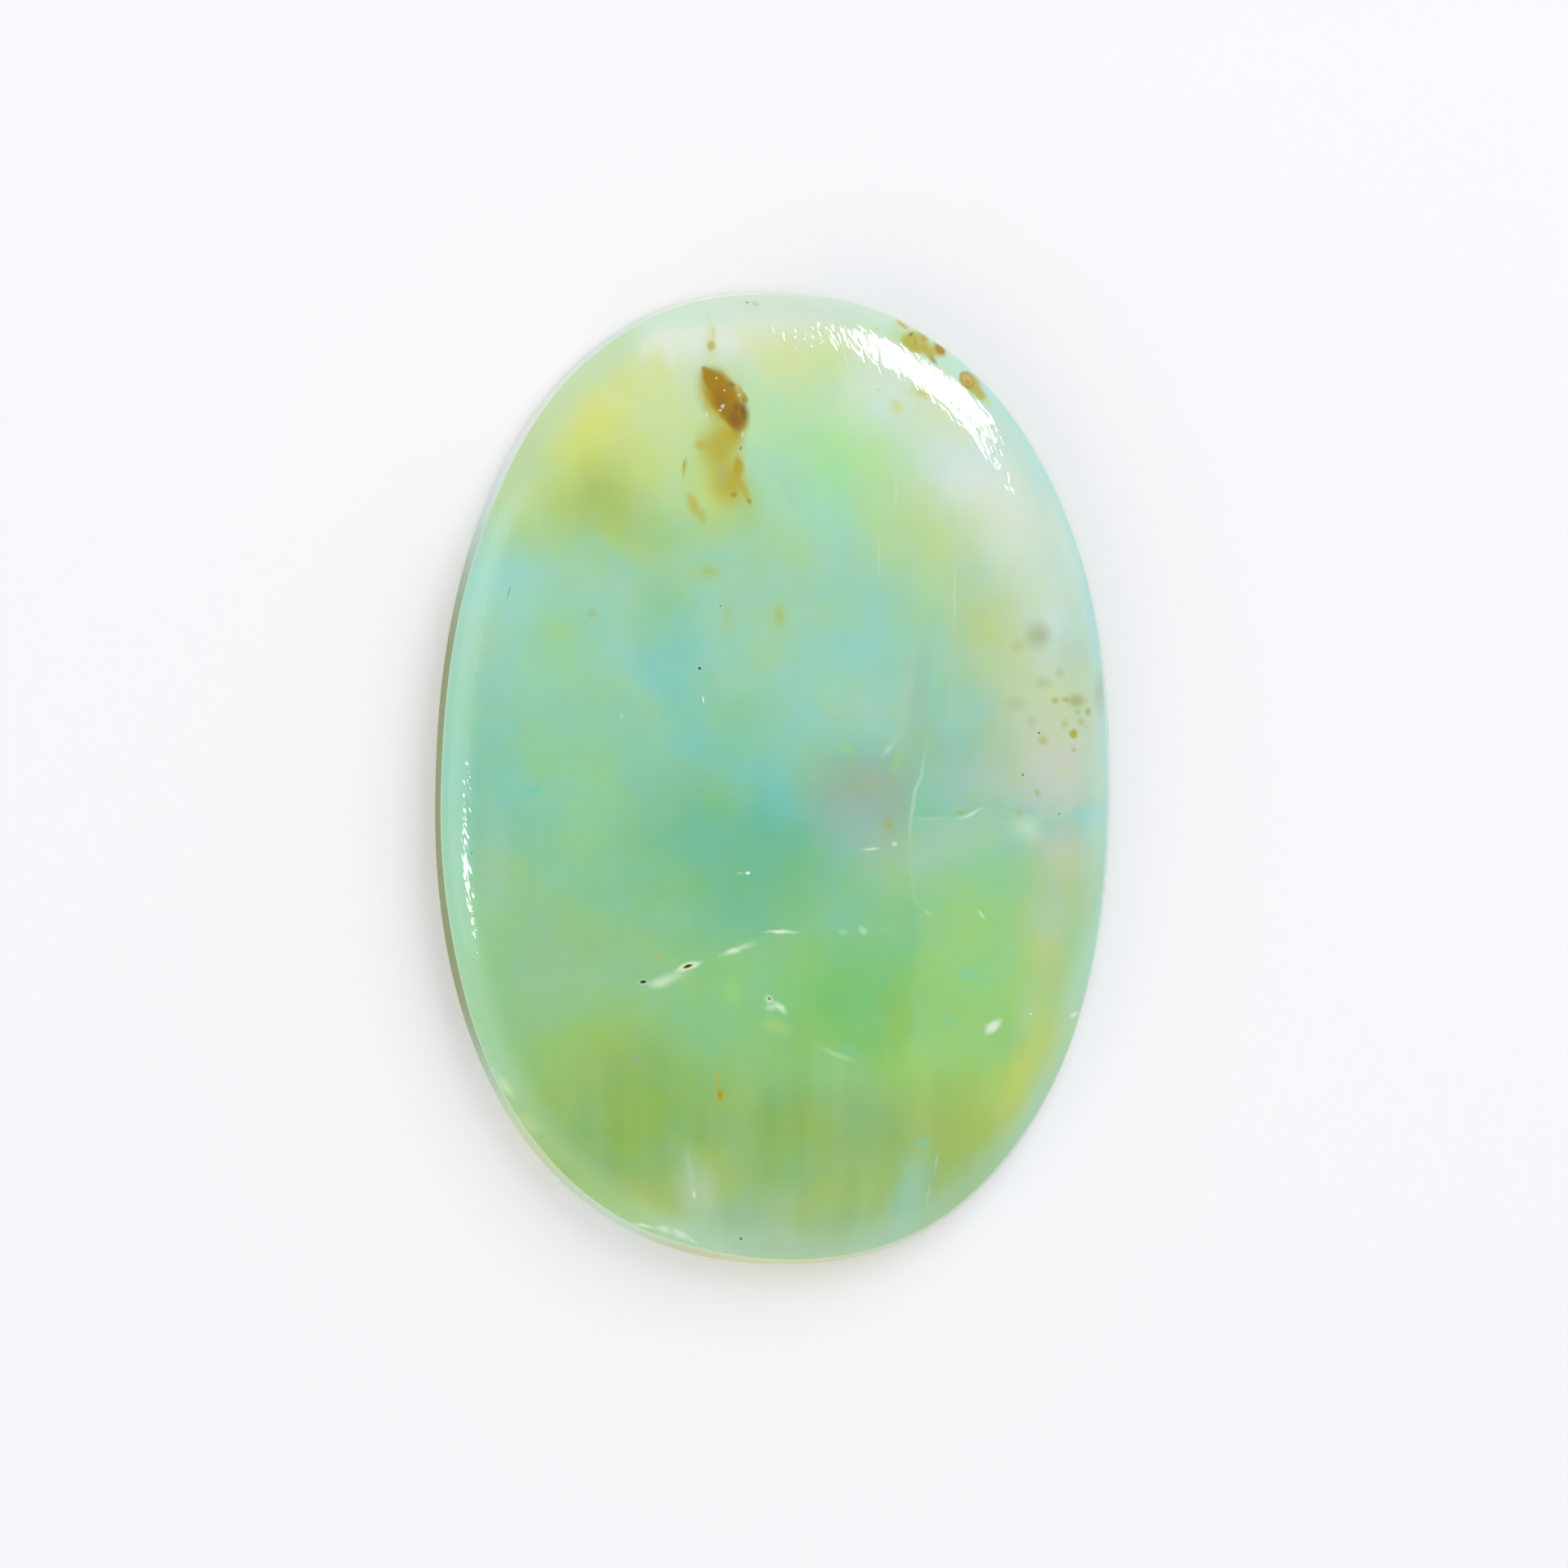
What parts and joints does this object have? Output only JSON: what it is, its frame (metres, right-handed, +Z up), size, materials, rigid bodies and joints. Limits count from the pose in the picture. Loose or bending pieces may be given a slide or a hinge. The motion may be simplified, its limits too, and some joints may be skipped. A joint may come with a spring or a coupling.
{
  "type": "peruvian opal cabochon",
  "caption": "Oval flat-backed cabochon of translucent green opal with brown and yellow inclusions, a leaning girdle and a low polished dome.",
  "frame": {"origin": "centre of the flat back", "axes": "+Z up out of the dome, +Y along the long axis towards the top of the stone as pictured, +X towards its right side"},
  "size_m": [0.0348, 0.05, 0.0047],
  "materials": {
    "opal": "polished, translucent, cloudy green with yellow, milky and brown zones"
  },
  "bodies": {
    "root": {"opal_cabochon": "opal"}
  },
  "joints": []
}
